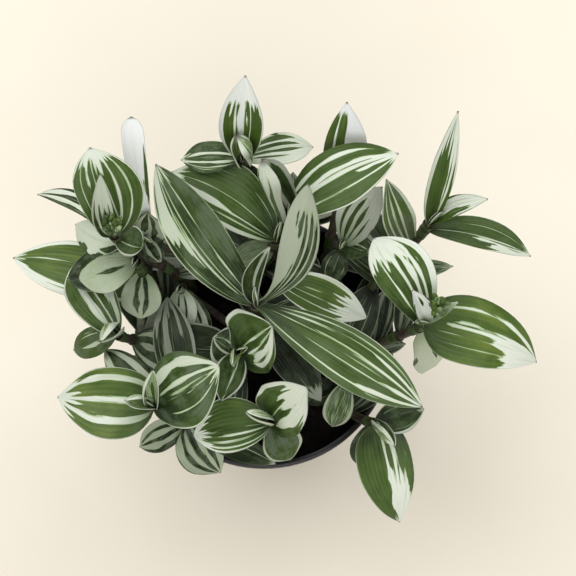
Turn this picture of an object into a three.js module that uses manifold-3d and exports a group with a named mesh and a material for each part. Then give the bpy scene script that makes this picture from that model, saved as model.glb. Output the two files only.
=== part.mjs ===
// A variegated tradescantia in a black plastic pot, in millimetres, with +Z up.
// The origin is the middle of the pot's foot, on the surface that the pot stands on.
// The pot, the soil and each leafy stem are separate solids. A stem and its blades grew
// as one piece, so they are one solid, and each stem stands in its own hole in the soil.
import * as THREE from 'three';
import { mergeVertices } from 'three/addons/utils/BufferGeometryUtils.js';
import Module from 'manifold-3d';

const wasm = await Module();
wasm.setup();

const pot = {
  rimRadius: 60,
  height: 100,
  footRadius: 43,
  wall: 1.5,
  rimBand: 11, // height of the thicker band at the rim
  rimStep: 2, // how far that band stands out from the wall
  footWidth: 6,
  footHeight: 2.5,
  drainHoles: 6,
  drainRadius: 4,
  drainCircle: 27,
  sides: 36,
};

const soil = {
  level: 89,
  gap: 0.3, // between the soil and the pot, and round each stem
  lump: 1.4, // height of the lumps in its surface
  sides: 28,
  rings: 4,
};

const stem = {
  radius: 1.9,
  sides: 6,
  steps: 6,
  rootDepth: 22,
  leanShare: 0.2, // places of the two points that guide its curve
  leanClimb: 0.5,
  turnShare: 0.95,
  turnClimb: 0.6,
};

const blade = {
  thickness: 0.8,
  lengthSteps: 5,
  broad: 18, // blades at least this wide have four facets across, and others two
  baseHalfWidth: 1.3,
  tipHalfWidth: 0.35,
  swell: 0.5, // power of the outline towards the base, where a small one is full
  point: 2.8, // and towards the tip, where a large one is full
};

// Lower down, where leaves above hide them, blades leave each stem by turns to either side.
// Each takes the first of these places that is clear of the other stems, inside the outline
// of the whole plant, and out of the two gaps through which the dark of the pot is seen.
const lower = {
  heights: [11, 23, 35], // above the soil
  rises: [-10, -5, 0], // of the tip over the base, at those heights
  belowCrown: 18, // and no nearer to the crown than this
  riseSteps: [0, 10, -10],
  reaches: [46, 40, 34, 28, 22],
  longest: [46, 46, 40], // reach allowed at those heights
  turns: [0, 20, -20, 40, -40, 60, -60, 80, -80],
  scatter: 50,
  seed: 7,
  widthShare: 0.4,
  arch: 0.14,
  lengthSteps: 4,
  clearance: 0.6,
  outline: { middle: [-6, 10], radii: [78, 66], wall: 60 },
  gaps: [{ seen: [213, 300], radius: 9 }, { seen: [328, 430], radius: 9 }],
  ceiling: 230,
};

const joinTolerance = 0.1; // slivers thinner than this are merged where blades join a stem

// The plant was laid out from one photograph, taken from above. "seen" values are pixels of
// that picture, and with a height above the floor they give a place on the plant.
const view = {
  eye: new THREE.Vector3(11, -95, 612),
  pitch: THREE.MathUtils.degToRad(77),
  focalPixels: 1127,
  middlePixel: 288,
};

const leafFinish = new THREE.MeshStandardMaterial({ color: 0x567a3c, roughness: 0.5, metalness: 0 });
const potFinish = new THREE.MeshStandardMaterial({ color: 0x101011, roughness: 0.45, metalness: 0 });
const soilFinish = new THREE.MeshStandardMaterial({ color: 0x1d1611, roughness: 1, metalness: 0 });

// Each stem: its root on the soil, the place of its crown, and its blades. A blade leaves the
// stem at the share "at" of its length, and ends at "seen" and "height", or, where no
// photograph shows it, "toward" a compass direction with its reach and rise.
const stems = [
  {
    name: 'stem_centre', root: [0, 6], crown: { seen: [256, 303], height: 152 },
    blades: [
      { seen: [423, 407], height: 146, width: 24, swell: 0.75, arch: 0.08 },
      { at: 0.93, seen: [156, 164], height: 172, width: 24, swell: 0.6, arch: 0.06, sway: -0.06 },
      { seen: [307, 184], height: 196, width: 18, point: 3, swell: 1.3, sway: 0.15, furl: 60, roll: -10 },
      { seen: [270, 247], height: 172, width: 13, sway: -0.12, furl: 200 },
    ],
  },
  {
    name: 'stem_centre_east', root: [12, 12], crown: { seen: [278, 278], height: 138 },
    blades: [
      { seen: [367, 318], height: 140, width: 19, arch: 0.06 },
      { seen: [290, 262], height: 150, width: 8, twist: 40, swell: 0.25, point: 10, furl: 250 },
    ],
  },
  {
    name: 'stem_north_centre', root: [-3, 28], crown: { seen: [276, 238], height: 146 },
    blades: [
      { seen: [171, 172], height: 160, width: 27, sway: 0.07, swell: 0.6, arch: 0.1 },
      { at: 0.8, seen: [232, 268], height: 124, width: 15 },
    ],
  },
  {
    name: 'stem_north_east', root: [10, 34], crown: { seen: [286, 214], height: 158 },
    blades: [
      { seen: [398, 153], height: 176, width: 25, swell: 0.6, arch: 0.1, sway: -0.03 },
      { seen: [263, 160], height: 188, width: 27, swell: 0.25, point: 25, twist: -60, furl: 250 },
    ],
  },
  {
    name: 'stem_north', root: [-2, 48], crown: { seen: [241, 156], height: 165 },
    blades: [
      { seen: [245, 77], height: 204, width: 19, furl: 70 },
      { seen: [236, 135], height: 182, width: 22, swell: 0.2, point: 30, twist: 60, furl: 290 },
      { seen: [313, 147], height: 162, width: 14, point: 4, arch: 0.12 },
      { seen: [181, 160], height: 161, width: 14, arch: 0.08 },
      { at: 0.9, seen: [252, 196], height: 148, width: 14 },
    ],
  },
  {
    name: 'stem_north_east_back', root: [28, 34], crown: { seen: [343, 182], height: 142 },
    blades: [
      { seen: [347, 104], height: 186, width: 19, furl: 50 },
    ],
  },
  {
    name: 'stem_east', root: [24, 18], crown: { seen: [344, 242], height: 134 },
    blades: [
      { seen: [382, 187], height: 158, width: 19, furl: 40, sway: -0.04 },
      { seen: [370, 252], height: 135, width: 12 },
      { at: 0.85, seen: [328, 284], height: 122, width: 12 },
    ],
  },
  {
    name: 'stem_far_east', root: [38, 10], crown: { seen: [430, 222], height: 148 },
    blades: [
      { seen: [458, 112], height: 192, width: 11, point: 2, furl: 60, sway: 0.0 },
      { seen: [487, 199], height: 168, width: 11, sway: -0.05, furl: 120 },
      { at: 0.9, seen: [531, 256], height: 138, width: 14, sway: -0.06, arch: 0.1 },
      { at: 0.7, seen: [387, 180], height: 172, width: 15, sway: -0.05, furl: 40 },
      { at: 0.45, seen: [453, 266], height: 122, width: 9 },
    ],
  },
  {
    name: 'stem_right_crown', root: [40, -8], crown: { seen: [426, 322], height: 146 },
    blades: [
      { seen: [374, 238], height: 158, width: 25, point: 5, sway: 0.05, arch: 0.15 },
      { seen: [538, 362], height: 126, width: 30, point: 1.8, swell: 0.28, arch: 0.12, sway: -0.03 },
      { seen: [413, 291], height: 166, width: 14, furl: 180 },
      { at: 0.85, seen: [436, 366], height: 108, width: 21, point: 4 },
      { seen: [458, 302], height: 158, width: 6, furl: 150 },
    ],
  },
  {
    name: 'stem_south_east', root: [34, -32], crown: { seen: [376, 424], height: 122 },
    blades: [
      { seen: [400, 523], height: 96, width: 25, sway: 0.02, point: 1.7, swell: 0.3, arch: 0.1 },
      { seen: [424, 409], height: 126, width: 15 },
      { seen: [395, 446], height: 138, width: 14, swell: 0.3, point: 8, twist: 60, furl: 270 },
      { at: 0.85, seen: [357, 465], height: 98, width: 12 },
    ],
  },
  {
    name: 'stem_south_east_inner', root: [34, -18], crown: { seen: [347, 382], height: 120 },
    blades: [
      { seen: [332, 427], height: 106, width: 13, arch: 0.15 },
      { at: 0.5, seen: [304, 402], height: 97, width: 12 },
    ],
  },
  {
    name: 'stem_south', root: [6, -38], crown: { seen: [270, 422], height: 128 },
    blades: [
      { seen: [193, 436], height: 124, width: 24, sway: 0.045, arch: 0.08 },
      { seen: [307, 388], height: 160, width: 26, furl: 60 },
      { seen: [246, 412], height: 146, width: 14, twist: 50, swell: 0.25, point: 10, furl: 320 },
      { at: 0.8, seen: [291, 460], height: 106, width: 18 },
    ],
  },
  {
    name: 'stem_south_west_low', root: [-22, -34], crown: { seen: [186, 424], height: 114 },
    blades: [
      { seen: [139, 447], height: 102, width: 14 },
      { seen: [221, 473], height: 96, width: 21, point: 2, swell: 0.4, sway: 0.06 },
      { at: 0.85, seen: [276, 464], height: 104, width: 13 },
    ],
  },
  {
    name: 'stem_south_west', root: [-24, -24], crown: { seen: [153, 405], height: 136 },
    blades: [
      { seen: [57, 397], height: 128, width: 31, sway: -0.03, point: 2, swell: 0.32, arch: 0.1 },
      { seen: [219, 366], height: 150, width: 33, arch: 0.12, sway: 0.05 },
      { seen: [153, 371], height: 158, width: 13, twist: -40, swell: 0.3, point: 6, furl: 220 },
      { seen: [125, 401], height: 146, width: 13, twist: 50, swell: 0.25, point: 10, furl: 250 },
      { at: 0.8, seen: [104, 349], height: 120, width: 15 },
    ],
  },
  {
    name: 'stem_south_centre', root: [-10, -18], crown: { seen: [238, 353], height: 126 },
    blades: [
      { seen: [272, 326], height: 146, width: 31, furl: 25 },
      { seen: [213, 337], height: 128, width: 19 },
      { seen: [221, 401], height: 131, width: 15, furl: 90 },
      { seen: [233, 366], height: 146, width: 9, twist: 50, swell: 0.25, point: 10, furl: 250 },
    ],
  },
  {
    name: 'stem_south_inner', root: [8, -14], crown: { seen: [274, 345], height: 112 },
    blades: [
      { seen: [320, 390], height: 112, width: 17 },
    ],
  },
  {
    name: 'stem_west', root: [-44, -4], crown: { seen: [117, 334], height: 132 },
    blades: [
      { seen: [72, 266], height: 120, width: 21, furl: 50, arch: 0.1 },
      { seen: [101, 342], height: 150, width: 18, swell: 0.25, point: 8, twist: 70, furl: 300 },
      { seen: [73, 350], height: 112, width: 14 },
      { at: 0.65, seen: [195, 362], height: 112, width: 21 },
    ],
  },
  {
    name: 'stem_west_upper', root: [-44, 14], crown: { seen: [135, 260], height: 144 },
    blades: [
      { seen: [79, 279], height: 139, width: 20, sway: -0.05, arch: 0.2 },
      { at: 0.88, seen: [67, 279], height: 130, width: 19, arch: 0.12 },
      { at: 0.4, seen: [12, 257], height: 104, width: 26 },
      { at: 0.75, seen: [141, 319], height: 124, width: 18, point: 4 },
    ],
  },
  {
    name: 'stem_north_west', root: [-34, 26], crown: { seen: [113, 233], height: 168 },
    blades: [
      { seen: [90, 148], height: 196, width: 27, point: 5, sway: 0.09, arch: 0.15 },
      { seen: [100, 175], height: 201, width: 12, arch: 0.15, furl: 110 },
      { seen: [37, 194], height: 148, width: 9, sway: 0.1 },
      { at: 0.93, seen: [143, 247], height: 159, width: 14, furl: 50, arch: 0.15 },
      { at: 0.82, seen: [75, 224], height: 150, width: 17, point: 1.7, sway: -0.08, furl: 40 },
    ],
  },
  {
    name: 'stem_north_west_inner', root: [-20, 38], crown: { seen: [145, 238], height: 150 },
    blades: [
      { seen: [131, 117], height: 186, width: 9.5, swell: 0.2, point: 30, furl: 50, sway: 0 },
      { at: 0.9, seen: [148, 213], height: 162, width: 17 },
      { seen: [161, 262], height: 148, width: 11, arch: 0.12 },
    ],
  },
  {
    name: 'stem_inner_west', root: [-14, 6], crown: { seen: [180, 288], height: 114 },
    blades: [
      { seen: [184, 334], height: 112, width: 14 },
      { at: 0.9, seen: [204, 352], height: 104, width: 16 },
    ],
  },
];

// The place at a height above the floor that the photograph shows at a pixel.
function placeSeen([pixelX, pixelY], height) {
  const sight = new THREE.Vector3(
    (pixelX - view.middlePixel) / view.focalPixels,
    (view.middlePixel - pixelY) / view.focalPixels,
    -1,
  );
  sight.applyAxisAngle(new THREE.Vector3(1, 0, 0), Math.PI / 2 - view.pitch);
  return view.eye.clone().addScaledVector(sight, (height - view.eye.z) / sight.z);
}

function solidOf(geometry) {
  const bare = geometry.clone();
  bare.deleteAttribute('normal');
  bare.deleteAttribute('uv');
  const merged = mergeVertices(bare, 1e-4);
  return new wasm.Manifold(new wasm.Mesh({
    numProp: 3,
    vertProperties: merged.attributes.position.array,
    triVerts: new Uint32Array(merged.index.array),
  }));
}

function geometryOf(solid) {
  const mesh = solid.getMesh();
  const geometry = new THREE.BufferGeometry();
  geometry.setAttribute('position', new THREE.BufferAttribute(mesh.vertProperties, 3));
  geometry.setIndex(new THREE.BufferAttribute(mesh.triVerts, 1));
  geometry.computeVertexNormals();
  return geometry;
}

function namedMesh(name, solid, material) {
  const mesh = new THREE.Mesh(geometryOf(solid), material);
  mesh.name = name;
  return mesh;
}

function lathe(profile, sides) {
  const outline = profile.map(([radius, height]) => new THREE.Vector2(radius, height));
  return new THREE.LatheGeometry(outline, sides).rotateX(Math.PI / 2);
}

function uprightCylinder(radius, bottom, top, sides, x, y) {
  return new THREE.CylinderGeometry(radius, radius, top - bottom, sides)
    .rotateX(Math.PI / 2)
    .translate(x, y, (bottom + top) / 2);
}

// The pot's outer radius just under the rim band, and anywhere on the tapered wall.
const shoulderRadius = pot.rimRadius - pot.rimStep;
const shoulderHeight = pot.height - pot.rimBand;
function wallRadius(height) {
  return THREE.MathUtils.mapLinear(height, 0, shoulderHeight, pot.footRadius, shoulderRadius);
}

const floorTop = pot.footHeight + 2 * pot.wall;

function potSolid() {
  const lip = 1; // rounding of the rim's edges
  const profile = [
    [0, pot.footHeight],
    [pot.footRadius - pot.footWidth, pot.footHeight],
    [pot.footRadius - pot.footWidth + 1, 0],
    [pot.footRadius, 0],
    [shoulderRadius, shoulderHeight],
    [pot.rimRadius - lip / 2, shoulderHeight + lip],
    [pot.rimRadius, pot.height - lip],
    [pot.rimRadius - lip, pot.height],
    [pot.rimRadius - 2 * pot.wall, pot.height],
    [pot.rimRadius - 2 * pot.wall - lip / 2, pot.height - lip],
    [wallRadius(shoulderHeight) - pot.wall, shoulderHeight],
    [wallRadius(floorTop) - pot.wall, floorTop],
    [0, floorTop],
  ];
  let solid = solidOf(lathe(profile, pot.sides));
  for (let i = 0; i < pot.drainHoles; i += 1) {
    const angle = (i * 2 * Math.PI) / pot.drainHoles;
    const x = pot.drainCircle * Math.cos(angle);
    const y = pot.drainCircle * Math.sin(angle);
    solid = solid.subtract(solidOf(uprightCylinder(pot.drainRadius, -1, floorTop + 1, 8, x, y)));
  }
  return solid;
}

function soilSurface(x, y) {
  return soil.level + soil.lump * Math.sin(x * 0.31 + 1) * Math.cos(y * 0.27) - soil.lump;
}

function soilSolid() {
  const bottom = floorTop + soil.gap;
  const innerRadius = (height) => wallRadius(height) - pot.wall - soil.gap;
  const profile = [[0, bottom], [innerRadius(bottom), bottom]];
  for (let ring = soil.rings; ring > 0; ring -= 1) {
    profile.push([(innerRadius(soil.level - 3) * ring) / soil.rings, soil.level]);
  }
  profile.push([0, soil.level]);
  const geometry = lathe(profile, soil.sides);
  const position = geometry.attributes.position;
  for (let i = 0; i < position.count; i += 1) {
    if (position.getZ(i) > bottom + 1) {
      position.setZ(i, soilSurface(position.getX(i), position.getY(i)));
    }
  }
  let solid = solidOf(geometry);
  for (const { root: [x, y] } of stems) {
    const hole = uprightCylinder(
      stem.radius + 1.2 * soil.gap, soil.level - stem.rootDepth - soil.gap, soil.level + 5,
      stem.sides, x, y,
    );
    solid = solid.subtract(solidOf(hole));
  }
  return solid;
}

// A stem leans out of the soil towards its crown, and turns up below it.
function stemCurve({ root: [x, y], crown }) {
  const start = new THREE.Vector3(x, y, soil.level);
  const end = placeSeen(crown.seen, crown.height);
  const climb = end.z - start.z;
  const { leanShare, leanClimb, turnShare, turnClimb } = stem;
  const leaning = start.clone().lerp(end, leanShare).setZ(start.z + climb * leanClimb);
  const turning = start.clone().lerp(end, turnShare).setZ(start.z + climb * turnClimb);
  return new THREE.CubicBezierCurve3(start, leaning, turning, end);
}

function stemSolid(plan, curve) {
  const section = new THREE.Shape();
  for (let i = 0; i < stem.sides; i += 1) {
    const angle = (i * 2 * Math.PI) / stem.sides;
    section[i ? 'lineTo' : 'moveTo'](stem.radius * Math.cos(angle), stem.radius * Math.sin(angle));
  }
  const tube = new THREE.ExtrudeGeometry(section, { steps: stem.steps, extrudePath: curve });
  const [x, y] = plan.root;
  const root = uprightCylinder(
    stem.radius, soil.level - stem.rootDepth, soil.level + 0.5, stem.sides, x, y,
  );
  return solidOf(tube).add(solidOf(root));
}

// Half the blade's width as a share of its greatest, along the blade from 0 to 1.
function outline(along, { swell = blade.swell, point = blade.point }) {
  const widest = (swell / (swell + point)) ** (1 / point);
  return (along ** swell * (1 - along ** point)) / (widest ** swell * (1 - widest ** point));
}

// The back face of a box is cut into triangles the other way round from its front face.
// Cutting its squares along their other diagonal keeps a bent blade equally thick.
function matchDiagonals(box) {
  const index = box.getIndex();
  const back = box.groups[5];
  for (let i = back.start; i < back.start + back.count; i += 6) {
    const [a, b, d, c] = [index.getX(i), index.getX(i + 1), index.getX(i + 2), index.getX(i + 4)];
    [a, b, c, a, c, d].forEach((corner, place) => index.setX(i + place, corner));
  }
}

function tipOf(plan, base) {
  if (plan.seen) return placeSeen(plan.seen, plan.height);
  const direction = THREE.MathUtils.degToRad(plan.toward);
  return base.clone().add(new THREE.Vector3(
    plan.reach * Math.cos(direction), plan.reach * Math.sin(direction), plan.rise,
  ));
}

// A blade is a thin box, bent so that its length follows an arched midrib, its width the
// outline, and its section part of a circle that turns through the angle "furl", which a
// young blade also winds round by "twist" from its base to its tip.
function bladeSolid(plan, curve) {
  const { width, arch = 0.05, sway = 0, furl = 30, twist = 0, roll = 0, at = 0.97 } = plan;
  const base = curve.getPoint(at);
  const tip = tipOf(plan, base);
  const length = base.distanceTo(tip);
  const forward = tip.clone().sub(base).normalize();
  const side = forward.clone().cross(new THREE.Vector3(0, 0, 1)).normalize();
  side.applyAxisAngle(forward, THREE.MathUtils.degToRad(roll));
  const up = side.clone().cross(forward);
  const { thickness = blade.thickness, lengthSteps = blade.lengthSteps } = plan;
  const acrossSteps = width < blade.broad || plan.plain ? 2 : 4;
  const box = new THREE.BoxGeometry(2, 1, thickness, acrossSteps, lengthSteps, 1);
  matchDiagonals(box);
  const position = box.attributes.position;
  for (let i = 0; i < position.count; i += 1) {
    const across = position.getX(i);
    const along = position.getY(i) + 0.5;
    const least = THREE.MathUtils.lerp(blade.baseHalfWidth, blade.tipHalfWidth, along);
    const half = Math.max((width / 2) * outline(along, plan), least);
    const bow = 4 * along * (1 - along);
    const slope = 4 * arch * (1 - 2 * along);
    const lean = Math.atan(slope);
    const normal = up.clone().multiplyScalar(Math.cos(lean)).addScaledVector(forward, -Math.sin(lean));
    const turn = Math.min(THREE.MathUtils.degToRad(furl) / 2, half / (0.6 * thickness));
    const radius = half / turn;
    const angle = across * turn + THREE.MathUtils.degToRad(twist) * along;
    const raised = radius * (1 - Math.cos(angle)) + position.getZ(i) * Math.cos(angle);
    const aside = (radius - position.getZ(i)) * Math.sin(angle);
    const point = base.clone()
      .addScaledVector(forward, length * along)
      .addScaledVector(up, arch * length * bow)
      .addScaledVector(side, sway * length * bow + aside)
      .addScaledVector(normal, raised);
    position.setXYZ(i, point.x, point.y, point.z);
  }
  return solidOf(box);
}

// The tall walls that lower blades keep out of: all that lies outside the plant's outline,
// and a tube round the line of sight down each gap.
function sightWalls() {
  const { middle: [x, y], radii: [a, b], wall } = lower.outline;
  const outer = 1 + wall / a;
  const top = lower.ceiling;
  const ring = lathe([[1, 0], [outer, 0], [outer, top], [1, top], [1, 0]], 48);
  const outside = ring.scale(a, b, 1).translate(x, y, 0);
  const tubes = lower.gaps.map(({ seen, radius }) => {
    const sight = new THREE.LineCurve3(placeSeen(seen, soil.level), placeSeen(seen, lower.ceiling));
    const disc = new THREE.Shape().absarc(0, 0, radius, 0, 2 * Math.PI);
    return new THREE.ExtrudeGeometry(disc, { steps: 1, curveSegments: 6, extrudePath: sight });
  });
  return [outside, ...tubes].map(solidOf);
}

// A seeded draw between 0 and 1.
let draw = lower.seed;
function nextDraw() {
  draw = (draw * 16807) % 2147483647;
  return draw / 2147483647;
}

// Every place that a lower blade may take, the best first.
function lowerChoices(curve, at, order) {
  const middle = curve.getPoint(0.5);
  const outward = THREE.MathUtils.radToDeg(Math.atan2(middle.y, middle.x));
  const ideal = outward + 180 * (order % 2) + (nextDraw() - 0.5) * lower.scatter;
  const choices = [];
  for (const reach of lower.reaches.filter((each) => each <= lower.longest[order])) {
    for (const turn of lower.turns) {
      for (const step of lower.riseSteps) {
        choices.push({
          at,
          toward: ideal + turn,
          reach,
          rise: lower.rises[order] + step,
          width: reach * lower.widthShare,
          arch: lower.arch,
          lengthSteps: lower.lengthSteps,
          plain: true,
        });
      }
    }
  }
  return choices;
}

// The share of a rising stem's length at which it has come up to a height.
function shareAtHeight(curve, height) {
  let share = 0;
  while (curve.getPoint(share).z < height) share += 0.01;
  return share;
}

function isClear(choice, curve, others) {
  const roomy = {
    ...choice,
    width: choice.width + 2 * lower.clearance,
    thickness: blade.thickness + 2 * lower.clearance,
  };
  const solid = bladeSolid(roomy, curve);
  return others.every((other) => solid.intersect(other).isEmpty());
}

function growLowerBlades(shoots, fixed) {
  for (const shoot of shoots) {
    const others = [...fixed, ...shoots.filter((each) => each !== shoot).map((each) => each.solid)];
    const top = shoot.curve.getPoint(1).z - lower.belowCrown;
    lower.heights.filter((height) => soil.level + height < top).forEach((height, order) => {
      const at = shareAtHeight(shoot.curve, soil.level + height);
      const choices = lowerChoices(shoot.curve, at, order);
      const choice = choices.find((each) => isClear(each, shoot.curve, others));
      if (choice) shoot.solid = shoot.solid.add(bladeSolid(choice, shoot.curve));
    });
  }
}

function shootOf(plan) {
  const curve = stemCurve(plan);
  const parts = [stemSolid(plan, curve), ...plan.blades.map((leaf) => bladeSolid(leaf, curve))];
  return { name: plan.name, curve, solid: wasm.Manifold.union(parts) };
}

// The fold between two blades can close off a small hollow, which is filled by keeping the
// outside alone.
function finished(solid) {
  const outside = solid.decompose().reduce((a, b) => (a.volume() > b.volume() ? a : b));
  return outside.simplify(joinTolerance);
}

const potBody = potSolid();
const soilBody = soilSolid();
const shoots = stems.map(shootOf);
growLowerBlades(shoots, [potBody, soilBody, ...sightWalls()]);

const plant = new THREE.Group();
plant.add(namedMesh('pot', potBody, potFinish));
plant.add(namedMesh('soil', soilBody, soilFinish));
shoots.forEach(({ name, solid }) => plant.add(namedMesh(name, finished(solid), leafFinish)));

export default plant;
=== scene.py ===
import math
import random

import bpy
from mathutils import Matrix, Quaternion, Vector, noise
from mathutils.kdtree import KDTree


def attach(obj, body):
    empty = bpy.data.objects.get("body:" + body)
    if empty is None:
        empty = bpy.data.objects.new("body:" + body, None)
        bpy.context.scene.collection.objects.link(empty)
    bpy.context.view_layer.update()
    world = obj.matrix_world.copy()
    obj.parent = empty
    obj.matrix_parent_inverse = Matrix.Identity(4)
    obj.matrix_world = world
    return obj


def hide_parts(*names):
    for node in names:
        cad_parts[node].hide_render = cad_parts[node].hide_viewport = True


# A variegated tradescantia in a black plastic pot. Lengths in the plans are millimetres, as in the
# part's source, and become metres where a piece is shaped. Colours are red, green, blue to 255.
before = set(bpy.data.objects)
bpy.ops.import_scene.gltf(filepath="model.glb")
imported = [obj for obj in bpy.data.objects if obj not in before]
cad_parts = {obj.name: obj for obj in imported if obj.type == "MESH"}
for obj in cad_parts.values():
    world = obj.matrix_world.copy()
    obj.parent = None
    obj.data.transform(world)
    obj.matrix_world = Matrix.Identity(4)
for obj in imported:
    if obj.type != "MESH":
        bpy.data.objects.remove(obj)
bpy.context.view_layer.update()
bpy.ops.object.select_all(action="DESELECT")
print("frame loaded:", len(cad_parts), "nodes")

millimetre = 0.001


def makeActive(piece):
    bpy.ops.object.select_all(action="DESELECT")
    piece.select_set(True)
    bpy.context.view_layer.objects.active = piece


def applyModifier(piece, kind, **settings):
    makeActive(piece)
    modifier = piece.modifiers.new(kind.lower(), kind)
    for name, value in settings.items():
        setattr(modifier, name, value)
    bpy.ops.object.modifier_apply(modifier=modifier.name)


def joined(pieces, name):
    makeActive(pieces[0])
    for piece in pieces:
        piece.select_set(True)
    bpy.ops.object.join()
    pieces[0].name = pieces[0].data.name = name
    return pieces[0]


def copied(blank, name):
    piece = bpy.data.objects.new(name, blank.data.copy())
    bpy.context.scene.collection.objects.link(piece)
    return piece


def selectLevel(piece, facing):
    # in edit mode, leaves selected the faces that look straight up, facing 1, or straight down, -1
    nearlyStraight = 0.9
    bpy.ops.mesh.select_all(action="DESELECT")
    bpy.ops.object.mode_set(mode="OBJECT")
    for face in piece.data.polygons:
        face.select = face.normal.z * facing > nearlyStraight
    bpy.ops.object.mode_set(mode="EDIT")
    bpy.ops.mesh.select_mode(type="FACE")


def addTaper(sides, footRadius, topRadius, bottom, top, **settings):
    # adds a cone between two heights, and leaves it in edit mode with its top selected
    bpy.ops.mesh.primitive_cone_add(
        vertices=sides, radius1=footRadius, radius2=topRadius, depth=top - bottom,
        location=(0, 0, (bottom + top) / 2), **settings,
    )
    piece = bpy.context.active_object
    bpy.ops.object.transform_apply(location=True)
    bpy.ops.object.mode_set(mode="EDIT")
    selectLevel(piece, 1)
    return piece


def smoothShade(piece, angle):
    makeActive(piece)
    bpy.ops.object.shade_smooth_by_angle(angle=math.radians(angle))


def giveMaterials(piece, *materials):
    piece.data.materials.clear()
    for material in materials:
        piece.data.materials.append(material)


def handOver(piece, slotName, *nodes):
    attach(piece, "root")
    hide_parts(*nodes)


def clamp(value, low=0.0, high=1.0):
    return max(low, min(high, value))


def colour(red, green, blue):
    def linear(part):
        part /= 255
        return part / 12.92 if part <= 0.04045 else ((part + 0.055) / 1.055) ** 2.4
    return (linear(red), linear(green), linear(blue), 1.0)


def newMaterial(name, roughness, specular=0.5):
    material = bpy.data.materials.new(name)
    material.use_nodes = True
    shader = material.node_tree.nodes["Principled BSDF"]
    shader.inputs["Roughness"].default_value = roughness
    shader.inputs["Specular IOR Level"].default_value = specular
    return material, material.node_tree


def put(tree, kind, inputs=None, **settings):
    node = tree.nodes.new("ShaderNode" + kind)
    for name, value in settings.items():
        setattr(node, name, value)
    for name, value in (inputs or {}).items():
        if isinstance(value, bpy.types.NodeSocket):
            tree.links.new(value, node.inputs[name])
        else:
            node.inputs[name].default_value = value
    return node


def calc(tree, operation, *values):
    return put(tree, "Math", dict(enumerate(values)), operation=operation).outputs[0]


def ramp(tree, value, fromLow, fromHigh, toLow=0.0, toHigh=1.0):
    inputs = {
        "Value": value, "From Min": fromLow, "From Max": fromHigh, "To Min": toLow, "To Max": toHigh,
    }
    return put(tree, "MapRange", inputs, interpolation_type="SMOOTHSTEP").outputs[0]


def blend(tree, share, first, second):
    return put(tree, "Mix", {0: share, 6: first, 7: second}, data_type="RGBA").outputs[2]


def grain(tree, vector, scale, detail=3.0, roughness=0.55):
    inputs = {"Vector": vector, "Scale": scale, "Detail": detail, "Roughness": roughness}
    return put(tree, "TexNoise", inputs).outputs["Fac"]


def objectPlace(tree):
    return put(tree, "TexCoord").outputs["Object"]


def layer(tree, under, value, limits, paint):
    # lays a colour over what is under it, as far as the ramp of a value goes
    return blend(tree, ramp(tree, value, *limits), under, colour(*paint))


def finished(material, tone, height, relief, roughness=None):
    # gives a material its colour, its relief and, where it varies, its roughness
    links = material.node_tree.links
    inputs = material.node_tree.nodes["Principled BSDF"].inputs
    shape = {"Height": height, "Strength": relief[0], "Distance": relief[1]}
    bump = put(material.node_tree, "Bump", shape)
    links.new(tone, inputs["Base Color"])
    links.new(bump.outputs["Normal"], inputs["Normal"])
    if roughness:
        links.new(roughness, inputs["Roughness"])
    return material


# For the finishes, a piece's dictionary gives the scale, detail and roughness of each grain, what
# each ramp runs between and, where they aren't 0 and 1, its values there, and the strength and the
# depth in metres of the relief.

studio = {  # places and sizes in metres, and the camera's sensor in millimetres
    "eye": (0.011, -0.095, 0.612),
    "pitch": 77,  # degrees down from level
    "focalPixels": 1127,
    "imagePixels": 576,
    "sensor": 36.0,
    "clip": (0.01, 20.0),
    "floorSize": 6.0,
    "floorPale": (244, 237, 220), "floorShade": (239, 231, 213),
    "floorCloud": (3.0, 4.0), "floorCloudRamp": (0.35, 0.7),
    "floorGrain": 45.0, "floorRelief": (0.1, 0.0004),
    "skyColour": (250, 248, 248),
    "skyStrength": 0.5,
    "lamps": [  # place, size and power of each soft lamp, all aimed at the plant
        ((-0.7, 0.5, 1.3), 1.3, 12.0),
        ((0.7, 0.9, 1.2), 1.0, 6.8),
        ((0.2, -1.1, 1.1), 1.2, 8.2),
    ],
    "aim": (0.0, 0.0, 0.12),
}


def addCamera():
    data = bpy.data.cameras.new("camera")
    data.sensor_width = studio["sensor"]
    data.lens = studio["focalPixels"] / studio["imagePixels"] * studio["sensor"]
    data.clip_start, data.clip_end = studio["clip"]
    camera = bpy.data.objects.new("camera", data)
    camera.location = studio["eye"]
    camera.rotation_euler = (math.radians(90 - studio["pitch"]), 0.0, 0.0)
    bpy.context.scene.collection.objects.link(camera)
    bpy.context.scene.camera = camera


def paperFinish():
    material, tree = newMaterial("floorPaper", roughness=0.75, specular=0.2)
    place = objectPlace(tree)
    cloud = grain(tree, place, *studio["floorCloud"])
    fine = grain(tree, place, studio["floorGrain"])
    pale = colour(*studio["floorPale"])
    tone = layer(tree, pale, cloud, studio["floorCloudRamp"], studio["floorShade"])
    return finished(material, tone, fine, studio["floorRelief"])


def addFloor():
    bpy.ops.mesh.primitive_plane_add(size=studio["floorSize"])
    floor = bpy.context.active_object
    floor.name = "floor"
    giveMaterials(floor, paperFinish())


def addLight():
    world = bpy.data.worlds.new("studio")
    bpy.context.scene.world = world
    world.use_nodes = True
    background = world.node_tree.nodes["Background"]
    background.inputs["Color"].default_value = colour(*studio["skyColour"])
    background.inputs["Strength"].default_value = studio["skyStrength"]
    for number, (place, size, power) in enumerate(studio["lamps"]):
        data = bpy.data.lights.new(f"lamp{number}", "AREA")
        data.size = size
        data.energy = power
        lamp = bpy.data.objects.new(f"lamp{number}", data)
        lamp.location = place
        sight = Vector(studio["aim"]) - Vector(place)
        lamp.rotation_euler = sight.to_track_quat("-Z", "Y").to_euler()
        bpy.context.scene.collection.objects.link(lamp)
    bpy.context.scene.view_settings.view_transform = "Standard"


addCamera()
addFloor()
addLight()
print("camera, floor and light placed")


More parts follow.
